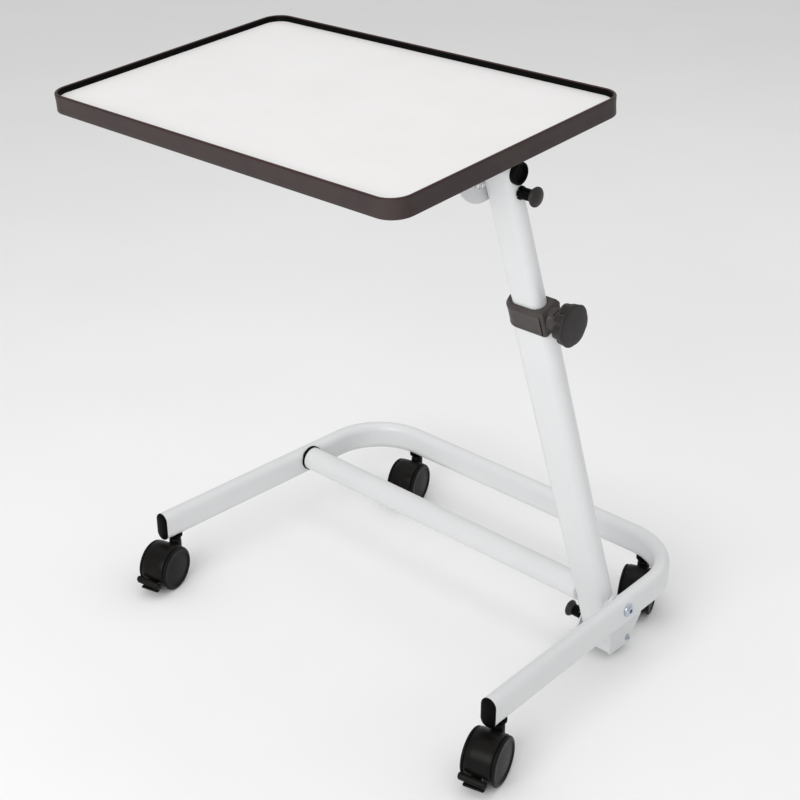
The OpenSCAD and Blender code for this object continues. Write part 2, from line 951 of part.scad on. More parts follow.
module caster_hood(corner, braked) {
  reach = hood_r + 2;
  color(black)
    at_caster(corner)
      difference() {
        union() {
          difference() {
            at_axle() rod_x(hood_r, -hood_half, hood_half);
            at_axle() rod_x(hood_r - hood_wall, -hood_half - 1, hood_half + 1);
            translate([-reach, -trail - reach, -1]) cube([2 * reach, reach, hood_front_z + 1]);
            translate([-reach, -trail - 1, -1]) cube([2 * reach, reach + 1, hood_rear_z + 1]);
          }
          difference() {
            at_axle() rod_x(hood_r - hood_wall / 2, -web_half, web_half);
            translate([-reach, -trail - reach, -1]) cube([2 * reach, 2 * reach, web_floor + 1]);
          }
          translate([0, 0, boss_low])
            cylinder(r = caster_boss_r, h = boss_top - boss_low);
          if (braked) pedal_lug();
        }
        at_axle() rod_x(axle_r, -web_half - 1, web_half + 1);
        translate([0, 0, boss_low + 2.5])
          cylinder(r = stem_r + running_gap, h = boss_top - boss_low);
        if (braked) at_pedal() rod_x(pedal_pin_r + running_gap, -web_half, web_half);
      }
}

// Pivot of the brake pedal, with -Y pointing away from the axle
module at_pedal() {
  at_axle() rotate([pedal_angle, 0, 0]) translate([0, -pedal_pivot, 0]) children();
}

module pedal_lug() {
  at_pedal() {
    rod_x(lug_r, -lug_half, lug_half);
    translate([-lug_half, 0, -lug_r]) cube([2 * lug_half, 8, 2 * lug_r]);
  }
}

module brake_pedal(corner) {
  far = 2 * pedal_out;
  color(black)
    at_caster(corner) {
      difference() {
        at_axle()
          sheet_x(-pedal_half, 2 * pedal_half)
            intersection() {
              difference() {
                circle(pedal_out);
                circle(pedal_in);
              }
              rotate(180 + pedal_angle)
                polygon([
                  [0, 0],
                  [far * cos(pedal_span), -far * sin(pedal_span)],
                  [far * cos(pedal_span), far * sin(pedal_span)]
                ]);
            }
        at_pedal()
          translate([-lug_half - 0.6, -lug_r - 0.6, -pedal_out])
            cube([2 * lug_half + 1.2, 20, 2 * pedal_out]);
      }
      at_pedal() rod_x(pedal_pin_r, -pedal_half + 2, pedal_half - 2);
      translate([-pedal_half + 5, -trail - pedal_out - 2, 12.5])
        cube([2 * pedal_half - 10, 9, 3]);
    }
}

module axle(corner) {
  color(zinc) at_caster(corner) at_axle() rod_x(axle_r, -axle_half, axle_half);
}

// Wheel on the +X side of its axle: a drum under the hood and a rounded rim outside it
module wheel(corner, side) {
  blind = axle_half + 0.3;
  outer = caster_w / 2;
  bore = axle_r + running_gap;
  color(black)
    at_caster(corner)
      at_axle()
        mirror([side < 0 ? 1 : 0, 0, 0])
          rotate([0, 90, 0])
            rotate_extrude() {
              translate([bore, wheel_inner]) square([drum_r - bore, rim_x - wheel_inner + 1]);
              translate([bore, rim_x]) square([wheel_r - rim_round - bore, blind - rim_x + tiny]);
              translate([0, blind]) square([24, outer - 1 - blind]);
              translate([24 - tiny, blind])
                square([wheel_r - rim_round - 24 + tiny, outer - blind]);
              translate([drum_r - 4, rim_x])
                square([wheel_r - drum_r + 4, wheel_rim - rim_round]);
              translate([wheel_r - rim_round, outer - rim_round]) circle(rim_round);
            }
}

// ---- what is drawn ----

base_frame();
end_cap_right();
end_cap_left();
caster_sockets();
caster_stems();
foot_shoe();
shoe_tie_screw();
pivot_bolt_right();
pivot_bolt_left();
bar_bush();
lock_pin_sleeve();
lock_pin_spring();
lock_pin_plunger();
lock_pin_knob();
round_bar();
bar_end_plug();
lower_tube();
pivot_sleeve();
foot_plug();
guide_bush();
clamp_collar();
clamp_nut();
clamp_screw();
clamp_knob();
upper_tube();
slide_shoe();
arm_tube();
arm_cap_right();
arm_cap_left();
tilt_pin_sleeve();
tilt_pin_spring();
tilt_pin_plunger();
tilt_pin_knob();
index_plate();
arm_saddles();
board_screws();
tabletop_board();
edge_moulding();
for (c = CORNERS) {
  braked = len([for (b = BRAKED) if (b == c) b]) > 0;
  caster_hood(c, braked);
  axle(c);
  wheel(c, -1);
  wheel(c, 1);
}
for (c = BRAKED) {
  brake_pedal(c);
}
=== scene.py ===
"""Looks of the overbed table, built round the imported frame.

The frame is in metres. Pieces are made in local millimetres, and basis() places them in the frame.
"""

import json
from math import atan2, cos, degrees, pi, radians, sin, sqrt, tan

import bmesh
import bpy
from mathutils import Matrix, Vector


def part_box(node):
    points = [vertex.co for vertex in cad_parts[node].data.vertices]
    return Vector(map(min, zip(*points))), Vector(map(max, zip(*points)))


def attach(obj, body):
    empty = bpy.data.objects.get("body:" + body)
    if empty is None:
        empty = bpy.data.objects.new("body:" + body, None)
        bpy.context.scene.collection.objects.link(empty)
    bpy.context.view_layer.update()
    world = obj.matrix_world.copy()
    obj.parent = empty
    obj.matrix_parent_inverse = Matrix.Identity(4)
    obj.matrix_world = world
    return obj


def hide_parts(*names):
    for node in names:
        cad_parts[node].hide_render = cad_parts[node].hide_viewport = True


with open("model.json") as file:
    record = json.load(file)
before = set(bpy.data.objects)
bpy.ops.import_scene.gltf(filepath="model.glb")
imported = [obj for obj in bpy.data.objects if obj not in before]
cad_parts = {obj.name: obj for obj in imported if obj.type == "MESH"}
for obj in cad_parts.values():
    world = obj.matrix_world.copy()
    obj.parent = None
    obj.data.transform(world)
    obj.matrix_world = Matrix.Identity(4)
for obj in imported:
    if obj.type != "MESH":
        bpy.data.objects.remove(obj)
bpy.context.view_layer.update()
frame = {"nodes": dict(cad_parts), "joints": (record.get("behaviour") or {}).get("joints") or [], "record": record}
NODES = frame["nodes"]
JOINTS = {joint["name"]: joint for joint in frame["joints"]}
MM = 0.001

# Sizes shared with the solids, in millimetres and degrees
LOW_W, LOW_T = 60, 30
UP_W, UP_T = 47, 25
TUBE_W, TUBE_H = 24, 46
LEG_SPLAY = 1.5
WHEEL_R = 35
TRAIL = 31
BOARD_W, BOARD_D, BOARD_T = 592, 392, 16
BOARD_R = 24
BOARD_RISE = 16.2
BOARD_LEAD = 9.5
PIN_SLEEVE = 15


# ---- places, all taken from the frame's joints and boxes ----


def joint_place(name):
    return Vector(JOINTS[name]["pos_m"])


def basis(origin, x_axis, z_axis):
    """Matrix whose local X and Z run along the two axes, in millimetre units."""
    x = Vector(x_axis).normalized()
    z = Vector(z_axis).normalized()
    y = z.cross(x)
    turn = Matrix((x, y, z)).transposed().to_4x4()
    return Matrix.Translation(origin) @ turn @ Matrix.Scale(MM, 4)


POST_UP = Vector(JOINTS["height_slide"]["axis"])
FOLD = joint_place("post_fold")
TILT = joint_place("top_tilt")
CLAMP = joint_place("clamp_turn")
BOARD_UP = Vector(frame["record"]["mounts"][0]["axis"])


def post_place(s):
    """Middle of the post, s millimetres up from the fold axis."""
    return basis(FOLD + POST_UP * s * MM, (1, 0, 0), POST_UP)


def top_place():
    """Tilt axis in the middle of the post, +Z square to the board."""
    return basis(TILT, (1, 0, 0), BOARD_UP)


def along(origin, direction, side):
    """Local Z runs along direction from origin; local X stays square to side."""
    return basis(origin, Vector(side).cross(Vector(direction)), direction)


def box_middle(node):
    low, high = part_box(node)
    return (low + high) / 2


def box_end(node, sign):
    """Middle of the node's face towards +X, or towards -X when sign is negative."""
    low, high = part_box(node)
    end = (low + high) / 2
    end.x = high.x if sign > 0 else low.x
    return end


# ---- meshes ----


def show(name, data):
    """Makes an object of a mesh, light or camera and puts it in the scene."""
    made = bpy.data.objects.new(name, data)
    bpy.context.scene.collection.objects.link(made)
    return made


def piece(name, bm, looks, body, replaced, smooth_angle, place):
    """Makes an object of the bmesh, rides it on body and lets it stand for the replaced nodes."""
    bm.transform(place)
    mesh = bpy.data.meshes.new(name)
    bm.to_mesh(mesh)
    bm.free()
    made = show(name, mesh)
    for look in looks:
        mesh.materials.append(look)
    mesh.shade_smooth()
    mesh.set_sharp_from_angle(angle=radians(smooth_angle))
    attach(made, body)
    if replaced:
        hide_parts(*replaced)


def lathe(profile, sides):
    """Turns a profile of (radius, height) round local Z."""
    bm = bmesh.new()
    rings = []
    for i in range(sides):
        a = radians(360 * i / sides)
        rings.append([bm.verts.new((r * cos(a), r * sin(a), z)) for r, z in profile])
    for i in range(sides):
        one, two = rings[i], rings[(i + 1) % sides]
        for j in range(len(profile) - 1):
            bm.faces.new((one[j], two[j], two[j + 1], one[j + 1]))
    bmesh.ops.remove_doubles(bm, verts=bm.verts, dist=1e-4)
    bmesh.ops.dissolve_degenerate(bm, edges=bm.edges, dist=1e-5)
    bmesh.ops.recalc_face_normals(bm, faces=bm.faces)
    return bm


def loft(rings, closed=False):
    """Skins equal-length rings of points; the last joins the first when closed, or both are capped."""
    bm = bmesh.new()
    made = [[bm.verts.new(p) for p in ring] for ring in rings]
    count = len(made[0])
    pairs = list(zip(made, made[1:]))
    if closed:
        pairs.append((made[-1], made[0]))
    for one, two in pairs:
        for j in range(count):
            k = (j + 1) % count
            bm.faces.new((one[j], one[k], two[k], two[j]))
    if not closed:
        bm.faces.new(list(reversed(made[0])))
        bm.faces.new(made[-1])
    bmesh.ops.recalc_face_normals(bm, faces=bm.faces)
    return bm


def merge(*parts):
    """One bmesh out of several, which are used up."""
    whole = bmesh.new()
    for bm in parts:
        copy = bpy.data.meshes.new("part")
        bm.to_mesh(copy)
        bm.free()
        whole.from_mesh(copy)
        bpy.data.meshes.remove(copy)
    return whole


def arc_points(cx, cy, r, a0, a1, steps):
    """Points of an arc round (cx, cy) from a0 to a1 degrees."""
    made = []
    for i in range(steps + 1):
        a = radians(a0 + (a1 - a0) * i / steps)
        made.append((cx + r * cos(a), cy + r * sin(a)))
    return made


def polygon(radius, sides):
    """Corners of a regular polygon, the first one on local X."""
    return arc_points(0, 0, radius, 0, 360, sides)[:sides]


def oval_ring(w, h):
    """Flat-oval outline, anticlockwise, long along Y."""
    r = w / 2
    k = h / 2 - r
    return arc_points(0, k, r, 0, 180, 16) + arc_points(0, -k, r, 180, 360, 16)


def ring_at(outline, z):
    return [(x, y, z) for x, y in outline]


def fillet_corners(points, r, steps=6):
    """Rounds every corner of a closed 2-D outline."""
    made = []
    count = len(points)
    for i in range(count):
        a, b, c = (Vector(points[(i + k) % count]) for k in (-1, 0, 1))
        one, two = (a - b).normalized(), (c - b).normalized()
        half = one.angle(two) / 2
        cut = min(r / tan(half), 0.45 * (a - b).length, 0.45 * (c - b).length)
        radius = cut * tan(half)
        centre = b + (one + two).normalized() * radius / sin(half)
        start, end = b + one * cut - centre, b + two * cut - centre
        turn = degrees(start.angle(end))
        sign = 1 if start.x * end.y - start.y * end.x > 0 else -1
        first = degrees(atan2(start.y, start.x))
        made += arc_points(centre.x, centre.y, radius, first, first + sign * turn, steps)
    return made


def prism(outline, z0, z1, edge, steps=3):
    """Prism of an outline whose two rims are rounded to the radius edge."""
    angles = [radians(90 * i / steps) for i in range(steps + 1)]
    rings = [(edge * (1 - sin(a)), z0 + edge * (1 - cos(a))) for a in angles]
    rings += [(edge * (1 - cos(a)), z1 - edge * (1 - sin(a))) for a in angles]
    return loft([ring_at(inset(outline, d), z) for d, z in rings])


def inset(outline, d):
    """Moves an anticlockwise outline inwards by d along its corner normals."""
    made = []
    count = len(outline)
    for i in range(count):
        a, b, c = (Vector(outline[(i + k) % count]) for k in (-1, 0, 1))
        one, two = b - a, c - b
        n = (Vector((-one.y, one.x)).normalized() + Vector((-two.y, two.x)).normalized()).normalized()
        made.append((b.x + n.x * d, b.y + n.y * d))
    return made


# ---- materials ----


def material(name):
    """New node material, with its tree and its shader."""
    made = bpy.data.materials.new(name)
    made.use_nodes = True
    tree = made.node_tree
    return made, tree, tree.nodes["Principled BSDF"]


def add(tree, kind, **settings):
    """New node; each setting is the value of a socket or else of an attribute."""
    node = tree.nodes.new(kind)
    for key, value in settings.items():
        if key in node.inputs:
            node.inputs[key].default_value = value
        else:
            setattr(node, key, value)
    return node


def coordinates(tree):
    return add(tree, "ShaderNodeTexCoord").outputs["Object"]


def noise(tree, where, scale, detail, rough=0.5, stretch=None):
    """Noise of 0 to 1, stretched by a factor along each axis where one is given."""
    if stretch:
        mapping = add(tree, "ShaderNodeMapping")
        mapping.inputs["Scale"].default_value = stretch
        tree.links.new(where, mapping.inputs["Vector"])
        where = mapping.outputs["Vector"]
    made = add(tree, "ShaderNodeTexNoise", Scale=scale, Detail=detail, Roughness=rough)
    tree.links.new(where, made.inputs["Vector"])
    return made.outputs["Fac"]


def ramp(tree, source, stops):
    """Colour that runs from one to the other of two (position, colour) stops."""
    made = add(tree, "ShaderNodeValToRGB")
    for element, (position, colour) in zip(made.color_ramp.elements, stops):
        element.position = position
        element.color = (*colour, 1)
    tree.links.new(source, made.inputs["Fac"])
    return made.outputs["Color"]


def span(tree, source, low, high, from_low=0.3, from_high=0.7):
    """Maps the source's range, by default that of most noise, onto low to high."""
    made = add(tree, "ShaderNodeMapRange")
    made.inputs["From Min"].default_value = from_low
    made.inputs["From Max"].default_value = from_high
    made.inputs["To Min"].default_value = low
    made.inputs["To Max"].default_value = high
    tree.links.new(source, made.inputs["Value"])
    return made.outputs["Result"]


def mixed(tree, factor, one, two):
    """Blends two colours, each a socket or a plain colour, by a factor socket."""
    made = add(tree, "ShaderNodeMix", data_type="RGBA")
    for socket, value in ((made.inputs[0], factor), (made.inputs[6], one), (made.inputs[7], two)):
        if isinstance(value, bpy.types.NodeSocket):
            tree.links.new(value, socket)
        else:
            socket.default_value = (*value, 1)
    return made.outputs[2]


def bump(tree, shader, layers):
    """Chains bump layers of (height output, strength, distance in metres) into the shader."""
    previous = None
    for height, strength, distance in layers:
        made = add(tree, "ShaderNodeBump", Strength=strength, Distance=distance)
        tree.links.new(height, made.inputs["Height"])
        if previous:
            tree.links.new(previous, made.inputs["Normal"])
        previous = made.outputs["Normal"]
    tree.links.new(previous, shader.inputs["Normal"])


def powder_coat():
    """White powder coat: faint orange peel, a little unevenness in tone and sheen."""
    made, tree, shader = material("white_powder_coat")
    where = coordinates(tree)
    broad = noise(tree, where, 9, 2)
    fine = noise(tree, where, 420, 2)
    speck = noise(tree, where, 1500, 1)
    tone = ramp(tree, broad, [(0.25, (0.690, 0.700, 0.708)), (0.75, (0.722, 0.728, 0.734))])
    specked = mixed(tree, span(tree, speck, 0.0, 0.05), tone, (0.52, 0.53, 0.54))
    tree.links.new(specked, shader.inputs["Base Color"])
    tree.links.new(span(tree, fine, 0.30, 0.40), shader.inputs["Roughness"])
    shader.inputs["Coat Weight"].default_value = 0.25
    shader.inputs["Coat Roughness"].default_value = 0.22
    bump(tree, shader, [(fine, 0.10, 0.0003), (speck, 0.05, 0.0001)])
    return made


def laminate():
    """Off-white melamine: very fine pearl texture, hardly visible clouding."""
    made, tree, shader = material("off_white_laminate")
    where = coordinates(tree)
    cloud = noise(tree, where, 14, 3)
    pearl = noise(tree, where, 900, 3, 0.6)
    fleck = add(tree, "ShaderNodeTexVoronoi", Scale=700)
    tree.links.new(where, fleck.inputs["Vector"])
    tone = ramp(tree, cloud, [(0.3, (0.800, 0.790, 0.786)), (0.7, (0.822, 0.812, 0.810))])
    spots = span(tree, fleck.outputs["Distance"], 0.05, 0.0, 0.0, 0.25)
    tree.links.new(mixed(tree, spots, tone, (0.70, 0.69, 0.67)), shader.inputs["Base Color"])
    tree.links.new(span(tree, pearl, 0.42, 0.54), shader.inputs["Roughness"])
    bump(tree, shader, [(pearl, 0.07, 0.0001)])
    return made


def plastic(name, dark, light, rough, gloss, painted_sheen_tone=None, grain=1100, grain_strength=0.12):
    """Moulded plastic: fine spark texture, tone that drifts a little, faint handling scuffs in the relief and
    lighter streaks of painted sheen in the colour.
    """
    made, tree, shader = material(name)
    where = coordinates(tree)
    broad = noise(tree, where, 22, 3)
    spark = noise(tree, where, grain, 2, 0.6)
    marks_and_sheen = noise(tree, where, 60, 4, 0.65, stretch=(1, 1, 0.25))
    tone = ramp(tree, broad, [(0.3, dark), (0.7, light)])
    # Where the streak noise runs high, the tone is lifted towards a lighter one: painted sheen.
    if painted_sheen_tone:
        tone = mixed(tree, span(tree, marks_and_sheen, 0.0, 0.35, 0.45, 0.75), tone, painted_sheen_tone)
    tree.links.new(tone, shader.inputs["Base Color"])
    tree.links.new(span(tree, spark, rough - 0.05, rough + 0.07), shader.inputs["Roughness"])
    shader.inputs["Specular IOR Level"].default_value = gloss
    bump(tree, shader, [(spark, grain_strength, 0.00015), (marks_and_sheen, 0.04, 0.0003)])
    return made


def bright_steel(name, tint, deep, rough):
    """Bright metal with turned lines and clouding."""
    made, tree, shader = material(name)
    where = coordinates(tree)
    cloud = noise(tree, where, 70, 4)
    lines = noise(tree, where, 260, 3, 0.6, stretch=(6, 1, 1))
    tree.links.new(ramp(tree, cloud, [(0.3, deep), (0.7, tint)]), shader.inputs["Base Color"])
    shader.inputs["Metallic"].default_value = 1.0
    tree.links.new(span(tree, lines, rough - 0.06, rough + 0.12), shader.inputs["Roughness"])
    bump(tree, shader, [(lines, 0.12, 0.0002)])
    return made


PAINT = powder_coat()
LAMINATE = laminate()
# The last colour of the edge, clamp, knob and caster plastics is a painted sheen, laid on in lighter streaks.
EDGE = plastic(
    "edge_moulding_plastic", (0.040, 0.029, 0.029), (0.050, 0.036, 0.035), 0.42, 0.2, (0.060, 0.044, 0.041)
)
EDGE_TOP = plastic("edge_lip_plastic", (0.034, 0.016, 0.016), (0.044, 0.019, 0.018), 0.40, 0.2)
CLAMP_PLASTIC = plastic(
    "clamp_plastic", (0.044, 0.038, 0.037), (0.060, 0.052, 0.049), 0.42, 0.25, (0.085, 0.071, 0.066)
)
KNOB_PLASTIC = plastic(
    "knob_plastic", (0.018, 0.015, 0.015), (0.027, 0.023, 0.022), 0.40, 0.25, (0.042, 0.036, 0.034)
)
BLACK = plastic("black_plastic", (0.0010, 0.0010, 0.0010), (0.0022, 0.0021, 0.0020), 0.5, 0.05)
CASTER = plastic(
    "caster_nylon", (0.0030, 0.0027, 0.0025), (0.0060, 0.0053, 0.0047), 0.36, 0.13, (0.015, 0.012, 0.010)
)
TREAD = plastic(
    "wheel_tread", (0.003, 0.003, 0.003), (0.006, 0.006, 0.006), 0.5, 0.12, grain=500, grain_strength=0.25
)
ZINC = bright_steel("zinc_plate", (0.60, 0.66, 0.74), (0.42, 0.47, 0.55), 0.28)
SPRING_STEEL = bright_steel("spring_steel", (0.42, 0.43, 0.45), (0.30, 0.31, 0.33), 0.34)
SLOT_MATERIAL = {
    "frame_paint": PAINT,
    "laminate_board": LAMINATE,
    "edge_plastic": EDGE,
    "clamp_plastic": CLAMP_PLASTIC,
    "black_plastic": BLACK,
    "caster_plastic": CASTER,
    "zinc_steel": ZINC,
    "spring_steel": SPRING_STEEL,
}


def dress_solids():
    """Gives every solid the material of its slot."""
    for part in frame["record"]["subparts"]:
        solid = NODES[part["node"]].data
        solid.materials.clear()
        solid.materials.append(SLOT_MATERIAL[part["material_slot"]])
    # The welded sleeve shows above the shoe's outboard plate, painted like the frame
    NODES["pivot_sleeve"].data.materials[0] = PAINT


dress_solids()


# ---- edge moulding ----

EDGE_T = 4
EDGE_H = 24.5
LIP_TOP = BOARD_T + 7.8
LIP_ROUND = 1.6
CORNER_STEPS = 12


def edge_section():
    """Outline of the moulding round the board's edge: x out from the board, z up from its underside."""
    foot = LIP_TOP - EDGE_H
    outer = (
        arc_points(1.2, foot + 1.2, 1.2, 180, 270, 4)
        + arc_points(EDGE_T - 1.8, foot + 1.8, 1.8, 270, 360, 5)
        + [(EDGE_T - 0.25, foot + 0.3 * EDGE_H), (EDGE_T - 0.35, foot + 0.5 * EDGE_H)]
        + [(EDGE_T - 0.25, foot + 0.7 * EDGE_H)]
        + arc_points(EDGE_T - 1.9, LIP_TOP - 1.9, 1.9, 0, 90, 6)
    )
    inner = (
        arc_points(1.4, LIP_TOP - 1.4, 1.4, 90, 180, 5)
        + [(-0.3, BOARD_T + 2.4), (-1.0, BOARD_T + 0.7), (-1.6, BOARD_T + 0.02)]
        + [(-1.6, BOARD_T - 0.6), (0.0, BOARD_T - 0.6), (0.0, 0.4)]
    )
    return outer + inner


def inward(middle, normal):
    """Does a face of the moulding look towards the middle of the board?"""
    return Vector((middle.x / BOARD_W, middle.y / BOARD_D)).dot(normal.xy) < -0.05


def build_edge():
    """Sweeps the section round the board; its lip has a look of its own, and its inner face above the board is
    black, as painted shade.
    """
    board_x = (box_middle("edge_moulding").x - TILT.x) / MM
    place = top_place() @ Matrix.Translation((board_x, -BOARD_LEAD, BOARD_RISE))
    section = edge_section()
    rings = []
    x, y = BOARD_W / 2 - BOARD_R, BOARD_D / 2 - BOARD_R
    for cx, cy, start in ((x, y, 0), (-x, y, 90), (-x, -y, 180), (x, -y, 270)):
        for i in range(CORNER_STEPS + 1):
            a = radians(start + 90 * i / CORNER_STEPS)
            out = Vector((cos(a), sin(a)))
            rings.append([(cx + (BOARD_R + d) * out.x, cy + (BOARD_R + d) * out.y, z) for d, z in section])
    bm = loft(rings, closed=True)
    for face in bm.faces:
        middle = face.calc_center_median()
        if face.normal.z > 0.35 and middle.z > LIP_TOP - LIP_ROUND:
            face.material_index = 1
        elif middle.z > BOARD_T and inward(middle, face.normal):
            # Faces above the board that look in towards its middle are black: painted shade on the lip's inner
            # face.
            face.material_index = 2
    looks = [EDGE, EDGE_TOP, BLACK]
    piece("edge_band", bm, looks, "tabletop", ["edge_moulding"], 50, place)


build_edge()


# ---- casters ----

CORNERS = ("front_right", "front_left", "rear_right", "rear_left")
BRAKED = CORNERS[:2]
# Distances from the caster's middle plane
HALF = 25.0
RIM = 5.0
HUB_IN = 8.3
HOOD_HALF = HALF - RIM - 0.5
# Distances from the axle
HOOD_R = WHEEL_R + 0.7
HOOD_WALL = 2.1
TREAD_DEPTH = 1.0
# Heights above the floor
AXLE_Z = WHEEL_R
HOOD_FRONT = 29
HOOD_REAR = 36
WEB_LOW, WEB_HALF = 20, 5.5
BOSS_LOW, BOSS_TOP, BOSS_R = 45, 72.6, 7.75
TOE_LOW, TOE_TOP = 12.2, 15.4
# Distances of the pedal's tread bar from the axle, in millimetres, and its angles, in degrees
PEDAL_IN, PEDAL_OUT = WHEEL_R + 2.2, WHEEL_R + 10.8
PEDAL_ANGLE = 20
PEDAL_SLANT = 9
# Turns a prism up Z, with its outline in XY, to run along X with its outline in YZ
SWAP = Matrix(((0, 0, 1, 0), (1, 0, 0, 0), (0, 1, 0, 0), (0, 0, 0, 1)))
TO_X = Matrix.Rotation(radians(90), 4, "Y")


def axle_place(corner):
    """Local X along the axle, Z up, origin in the middle of the axle."""
    roll = corner + "_left_roll"
    return basis(joint_place(roll), JOINTS[roll]["axis"], (0, 0, 1))


def wheel_profile():
    """Radius and distance from the caster's middle, from the inner hub to the outer face."""
    drum = WHEEL_R - 2
    rim_x = HALF - RIM
    return (
        [(3.2, HUB_IN), (9, HUB_IN), (9.6, HUB_IN + 0.8), (12, HUB_IN + 3), (drum - 5, HUB_IN + 3)]
        + [(drum - 4.2, HUB_IN + 0.6), (drum - 3.6, HUB_IN), (drum - 0.8, HUB_IN), (drum, HUB_IN + 0.8)]
        + [(drum, rim_x + 0.3), (WHEEL_R - 1.4, rim_x + 0.3), (WHEEL_R - 0.5, rim_x + 0.6)]
        + [(WHEEL_R, rim_x + 1.4), (WHEEL_R, rim_x + 2.2), (WHEEL_R - 0.4, rim_x + 3.2)]
        + [(WHEEL_R - 1.3, rim_x + 4.2), (WHEEL_R - 2.6, rim_x + 4.8), (WHEEL_R - 4.2, HALF)]
        + [(WHEEL_R - 5.4, HALF - 0.1), (WHEEL_R - 6.3, HALF - 0.7), (WHEEL_R - 6.9, HALF - 1.5)]
        + [(WHEEL_R - 8.4, HALF - 1.75), (20, HALF - 1.2), (12, HALF - 0.75), (5, HALF - 0.45)]
        + [(0, HALF - 0.4)]
    )


def hood_section():
    """Closed section of the hood shell: place across the caster and radius."""
    r, w = HOOD_R, HOOD_WALL
    return (
        [(-HOOD_HALF, r - w)]
        + [(-HOOD_HALF, r - 1.5), (-HOOD_HALF + 0.5, r - 0.6), (-HOOD_HALF + 1.5, r)]
        + [(-HOOD_HALF * 0.5, r + 0.02), (0, r + 0.03), (HOOD_HALF * 0.5, r + 0.02)]
        + [(HOOD_HALF - 1.5, r), (HOOD_HALF - 0.5, r - 0.6), (HOOD_HALF, r - 1.5)]
        + [(HOOD_HALF, r - w)]
    )


def hood_shell():
    """Barrel shell over the two wheels, from low at the front to axle height at the rear."""
    drop = AXLE_Z - HOOD_FRONT
    front = 180 + degrees(atan2(drop, sqrt(HOOD_R ** 2 - drop ** 2)))
    rear = degrees(atan2(HOOD_REAR - AXLE_Z, HOOD_R))
    steps = 44
    rings = []
    for i in range(steps + 1):
        a = radians(rear + (front - rear) * i / steps)
        # The two end edges are a little thinner and narrower
        thin = 0.5 if i in (0, steps) else 0.0
        ring = []
        for x, r in hood_section():
            r -= thin if r > HOOD_R - 1 else 0.0
            ring.append((x * (1 - 0.02 * thin), r * cos(a), r * sin(a)))
        rings.append(ring)
    return loft(rings)


def web_plate():
    """Middle plate of the hood, between the two wheels."""
    r = HOOD_R - HOOD_WALL / 2
    low = WEB_LOW - AXLE_Z
    start = degrees(atan2(low, sqrt(r * r - low * low)))
    bm = prism(arc_points(0, 0, r, start, 180 - start, 40), -WEB_HALF, WEB_HALF, 0.5)
    bm.transform(SWAP)
    return bm


def stem_boss():
    """Turned boss that holds the stem, with a fillet onto the hood."""
    low, top = BOSS_LOW - AXLE_Z, BOSS_TOP - AXLE_Z
    profile = [(0, low), (9.5, low), (9.5, 30), (8.8, 32.2), (8.1, 33.6), (BOSS_R, 35), (BOSS_R, top - 0.6)]
    profile += [(7.2, top), (0, top)]
    bm = lathe(profile, 40)
    bm.transform(Matrix.Translation((0, TRAIL, 0)))
    return bm


def pedal_bar(outline, x0, x1, edge, steps, place):
    """Bar along the axle with an outline in the caster's YZ plane."""
    bar = prism(outline, x0, x1, edge, steps)
    bar.transform(place @ SWAP)
    return bar


def pedal_mesh():
    """Brake pedal: a rounded tread bar that slants across the hood, on a lever with a toe plate."""
    turn = Matrix.Rotation(radians(PEDAL_ANGLE), 4, "X")
    slant = turn @ Matrix.Rotation(radians(PEDAL_SLANT), 4, "Y")
    tread = [(-PEDAL_IN, -4.2), (-PEDAL_IN, 8.2), (-PEDAL_OUT, 7.4), (-PEDAL_OUT, -3.8)]
    grip = pedal_bar(fillet_corners(tread, 3.8), -HOOD_HALF - 4.0, HOOD_HALF - 2.5, 2.6, 5, slant)
    low, high = radians(-2), radians(13)
    middle = WHEEL_R + 5.2
    spokes = [(middle, high), (PEDAL_IN, high), (PEDAL_IN, low), (middle, low)]
    arm = fillet_corners([(-r * cos(a), -r * sin(a)) for r, a in spokes], 0.9, 3)
    lever = pedal_bar(arm, -HOOD_HALF + 3.5, HOOD_HALF - 4.5, 0.8, 3, turn)
    y = -PEDAL_OUT
    rib = fillet_corners([(y - 0.3, -0.4), (y + 1, -0.4), (y + 1, 0.4), (y - 0.3, 0.4)], 0.2, 2)
    ribs = []
    for lift in (0, 1.9, 3.8):
        rib_place = slant @ Matrix.Translation((0, 0, lift))
        ribs.append(pedal_bar(rib, -HOOD_HALF, HOOD_HALF - 6, 0.2, 1, rib_place))
    toe_in, toe_out = -WHEEL_R - 0.8, -WHEEL_R - 8.2
    half = HOOD_HALF - 3.5
    plate = [(-half, toe_out), (half - 1, toe_out), (half - 1, toe_in), (-half, toe_in)]
    toe = prism(fillet_corners(plate, 2.2, 5), TOE_LOW - AXLE_Z, TOE_TOP - AXLE_Z, 0.9)
    return merge(grip, lever, toe, *ribs)


def wheel_mesh():
    """Wheel whose running face takes the second material."""
    wheel = lathe(wheel_profile(), 96)
    for face in wheel.faces:
        radius = face.calc_center_median().xy.length
        face.material_index = 1 if radius > WHEEL_R - TREAD_DEPTH else 0
    return wheel


def build_caster(corner):
    place = axle_place(corner)
    hood = merge(hood_shell(), web_plate(), stem_boss())
    piece(corner + "_shell", hood, [CASTER], corner + "_caster", [corner + "_hood"], 40, place)
    for side, turn in (("right", 0), ("left", pi)):
        body = corner + "_" + side + "_wheel"
        node = corner + "_wheel_" + side
        wheel_place = place @ Matrix.Rotation(turn, 4, "Z") @ TO_X
        piece(corner + "_roller_" + side, wheel_mesh(), [CASTER, TREAD], body, [node], 32, wheel_place)
    if corner in BRAKED:
        body, node = corner + "_pedal", corner + "_brake_pedal"
        piece(corner + "_toe_pedal", pedal_mesh(), [CASTER], body, [node], 40, place)


for corner in CORNERS:
    build_caster(corner)


# ---- end caps of the base tube ----

CAP_LENGTH = 4.5
# How far each ring of the domed cap is drawn in, and its distance from the tube's end
CAP_DOME = [(0.6, -0.5), (0, 0), (0, 1.2), (0.35, 2.0), (1.3, 2.8), (3.2, 3.6), (6.0, 4.2), (9.0, CAP_LENGTH)]
CAP_WALL = 1.7


def cap_ring(inwards, z):
    return ring_at(oval_ring(TUBE_W - 2 * inwards, TUBE_H - 2 * inwards), z)


